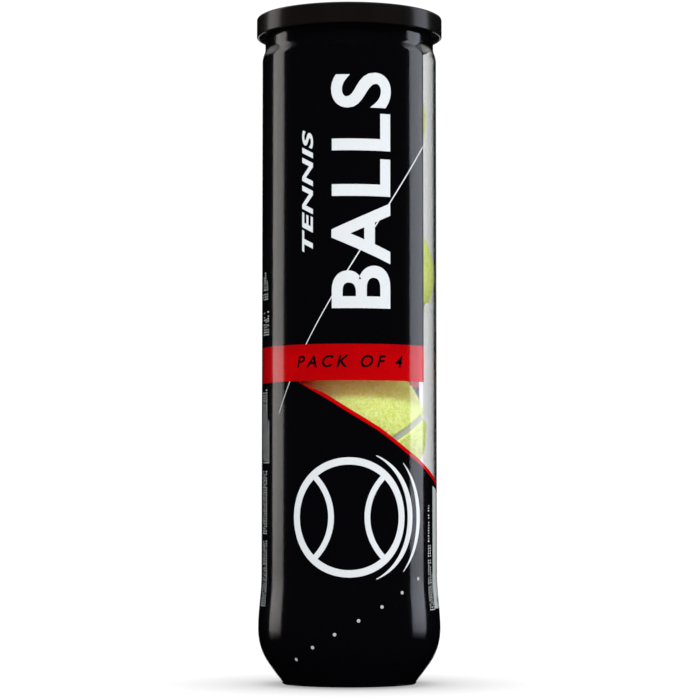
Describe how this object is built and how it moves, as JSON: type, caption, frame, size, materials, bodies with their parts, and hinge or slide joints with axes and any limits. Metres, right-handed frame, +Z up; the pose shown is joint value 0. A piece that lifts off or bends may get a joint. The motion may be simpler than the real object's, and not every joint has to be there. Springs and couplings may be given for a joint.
{
  "type": "tennis ball can",
  "caption": "Clear plastic bottle of tennis balls in a printed sleeve, with a seamed metal tear-off end and a black press-on over-cap.",
  "frame": {"origin": "centre of the foot ring, on the surface that the can stands on", "axes": "+Z up the can towards its cap, -Y towards the front of the printed sleeve, +X to the right of the front"},
  "size_m": [0.0788, 0.0788, 0.2822],
  "materials": {
    "clear_pet": "clear blown bottle, glossy",
    "printed_film": "shrunk film, gloss black print with clear windows",
    "aluminium_sheet": "rolled sheet, lightly brushed",
    "aluminium_tab": "stamped and hemmed, satin",
    "sealing_compound": "dried compound, dull",
    "black_polyethylene": "moulded, satin",
    "core_rubber": "pressed, dull",
    "yellow_felt": "brushed wool and nylon nap",
    "seam_rubber": "vulcanised seam, dull"
  },
  "bodies": {
    "can": {"bottle": "clear_pet", "sleeve": "printed_film", "end_ring": "aluminium_sheet", "seam_compound": "sealing_compound"},
    "cap": {"over_cap": "black_polyethylene"},
    "panel": {"tear_panel": "aluminium_sheet", "tab_tongue": "aluminium_tab"},
    "tab": {"pull_tab": "aluminium_tab"},
    "ball_1": {"ball_1_core_lower": "core_rubber", "ball_1_core_upper": "core_rubber", "ball_1_felt_a": "yellow_felt", "ball_1_felt_b": "yellow_felt", "ball_1_seam": "seam_rubber"},
    "ball_2": {"ball_2_core_lower": "core_rubber", "ball_2_core_upper": "core_rubber", "ball_2_felt_a": "yellow_felt", "ball_2_felt_b": "yellow_felt", "ball_2_seam": "seam_rubber"},
    "ball_3": {"ball_3_core_lower": "core_rubber", "ball_3_core_upper": "core_rubber", "ball_3_felt_a": "yellow_felt", "ball_3_felt_b": "yellow_felt", "ball_3_seam": "seam_rubber"},
    "ball_4": {"ball_4_core_lower": "core_rubber", "ball_4_core_upper": "core_rubber", "ball_4_felt_a": "yellow_felt", "ball_4_felt_b": "yellow_felt", "ball_4_seam": "seam_rubber"}
  },
  "joints": [
    {"name": "cap_lift", "type": "slide", "parent": "can", "child": "cap", "axis": [0, 0, 1], "range_m": [0, 0.36]},
    {"name": "panel_lift", "type": "slide", "parent": "can", "child": "panel", "axis": [0, 0, 1], "range_m": [0, 0.317]},
    {"name": "tab_swing", "type": "hinge", "parent": "panel", "child": "tab", "pos_m": [0, -0.03255, 0.27638], "axis": [1, 0, 0], "range_deg": [0, 80]},
    {"name": "ball_1_lift", "type": "slide", "parent": "can", "child": "ball_1", "axis": [0, 0, 1], "range_m": [0, 0.28]},
    {"name": "ball_2_lift", "type": "slide", "parent": "can", "child": "ball_2", "axis": [0, 0, 1], "range_m": [0, 0.286]},
    {"name": "ball_3_lift", "type": "slide", "parent": "can", "child": "ball_3", "axis": [-0.0185, 0, 0.9998], "range_m": [0, 0.292]},
    {"name": "ball_4_lift", "type": "slide", "parent": "can", "child": "ball_4", "axis": [0, 0, 1], "range_m": [0, 0.298]}
  ],
  "couplings": [
    {"joint": "panel_lift", "follows": "cap_lift", "ratio": 0.88},
    {"joint": "tab_swing", "follows": "cap_lift", "rad_per_m": 3.87},
    {"joint": "ball_1_lift", "follows": "cap_lift", "ratio": 0.7777},
    {"joint": "ball_2_lift", "follows": "cap_lift", "ratio": 0.7944},
    {"joint": "ball_3_lift", "follows": "cap_lift", "ratio": 0.8111},
    {"joint": "ball_4_lift", "follows": "cap_lift", "ratio": 0.8277}
  ]
}
